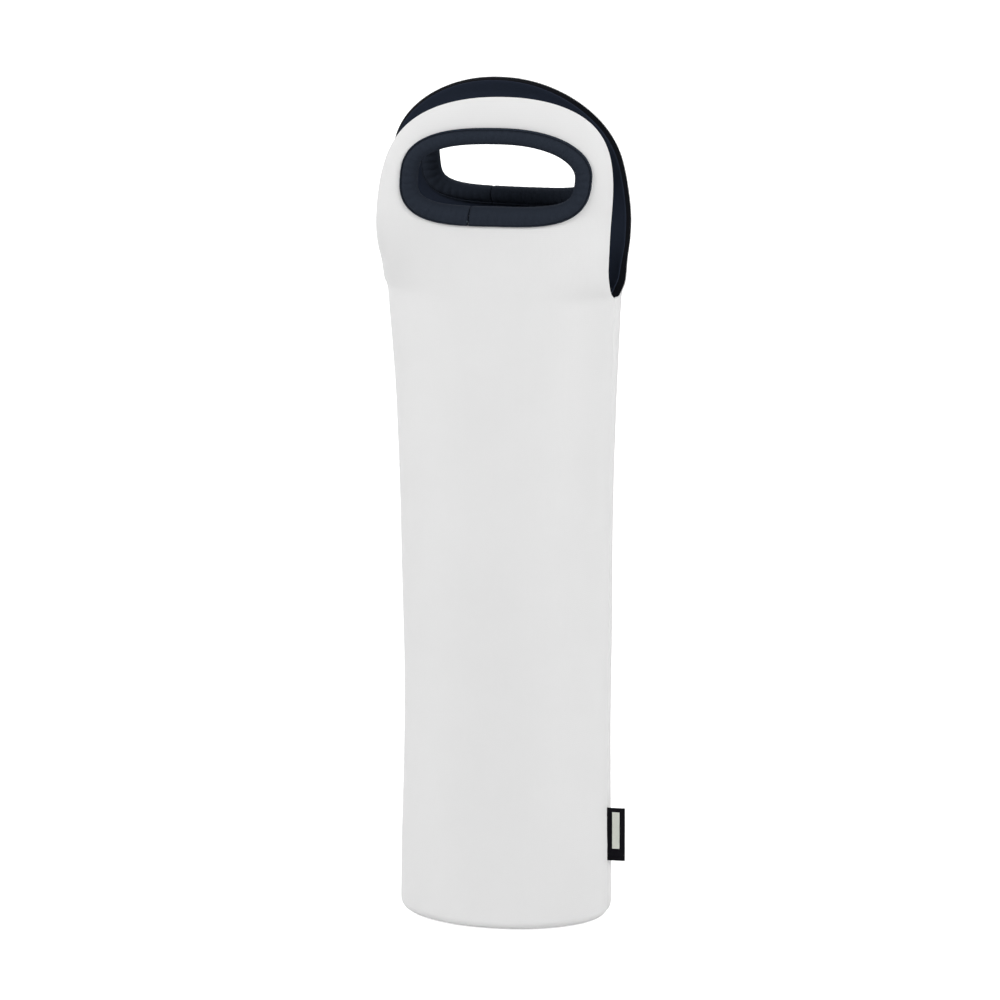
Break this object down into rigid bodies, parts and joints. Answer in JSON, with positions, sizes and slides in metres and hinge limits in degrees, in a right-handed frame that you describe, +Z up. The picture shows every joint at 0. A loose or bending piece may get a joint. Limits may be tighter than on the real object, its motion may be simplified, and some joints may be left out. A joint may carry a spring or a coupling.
{
  "type": "bottle carrier",
  "caption": "Soft neoprene sleeve carrier for one bottle, with two flaps that each have a padded oval hand hole.",
  "frame": {"origin": "middle of the oval base, on the surface that the carrier stands on", "axes": "+Z up, along the sleeve; the front faces -Y; the side label stands out along +X"},
  "size_m": [0.1085, 0.073, 0.378],
  "materials": {
    "cover_jersey": "light grey nylon jersey bonded to neoprene, fine knit, matt",
    "foam_core": "black neoprene foam, matt cut edge",
    "lining_jersey": "dark navy nylon jersey bonded to neoprene, fine knit, matt",
    "seam_binding": "dark navy knitted binding tape, matt",
    "hole_binding": "dark navy jersey faced neoprene strip, soft matt sheen",
    "label_ribbon": "black woven ribbon with a plain pale field"
  },
  "bodies": {
    "sleeve": {"front_cover": "cover_jersey", "front_foam": "foam_core", "front_lining": "lining_jersey", "back_cover": "cover_jersey", "back_foam": "foam_core", "back_lining": "lining_jersey", "base_cover": "cover_jersey", "base_foam": "foam_core", "base_lining": "lining_jersey", "left_seam_binding": "seam_binding", "right_seam_binding": "seam_binding", "base_seam_binding": "seam_binding", "front_bend_cover": "cover_jersey", "front_bend_foam": "foam_core", "front_bend_lining": "lining_jersey", "back_bend_cover": "cover_jersey", "back_bend_foam": "foam_core", "back_bend_lining": "lining_jersey"},
    "front_flap": {"front_flap_cover": "cover_jersey", "front_flap_foam": "foam_core", "front_flap_lining": "lining_jersey", "front_hole_binding": "hole_binding"},
    "back_flap": {"back_flap_cover": "cover_jersey", "back_flap_foam": "foam_core", "back_flap_lining": "lining_jersey", "back_hole_binding": "hole_binding"},
    "label": {"side_label": "label_ribbon"}
  },
  "joints": [
    {"name": "front_flap_fold", "type": "hinge", "parent": "sleeve", "child": "front_flap", "pos_m": [0, 0, 0.286], "axis": [1, 0, 0], "range_deg": [-10, 20], "stiffness_Nm_per_rad": 0.08, "deforming": ["front_bend_cover", "front_bend_foam", "front_bend_lining"]},
    {"name": "back_flap_fold", "type": "hinge", "parent": "sleeve", "child": "back_flap", "pos_m": [0, 0, 0.286], "axis": [-1, 0, 0], "range_deg": [-10, 20], "stiffness_Nm_per_rad": 0.08, "deforming": ["back_bend_cover", "back_bend_foam", "back_bend_lining"]},
    {"name": "label_swing", "type": "hinge", "parent": "sleeve", "child": "label", "pos_m": [0.0477, 0, 0.03775], "axis": [0, 0, 1], "range_deg": [-60, 60], "stiffness_Nm_per_rad": 0.00002}
  ]
}
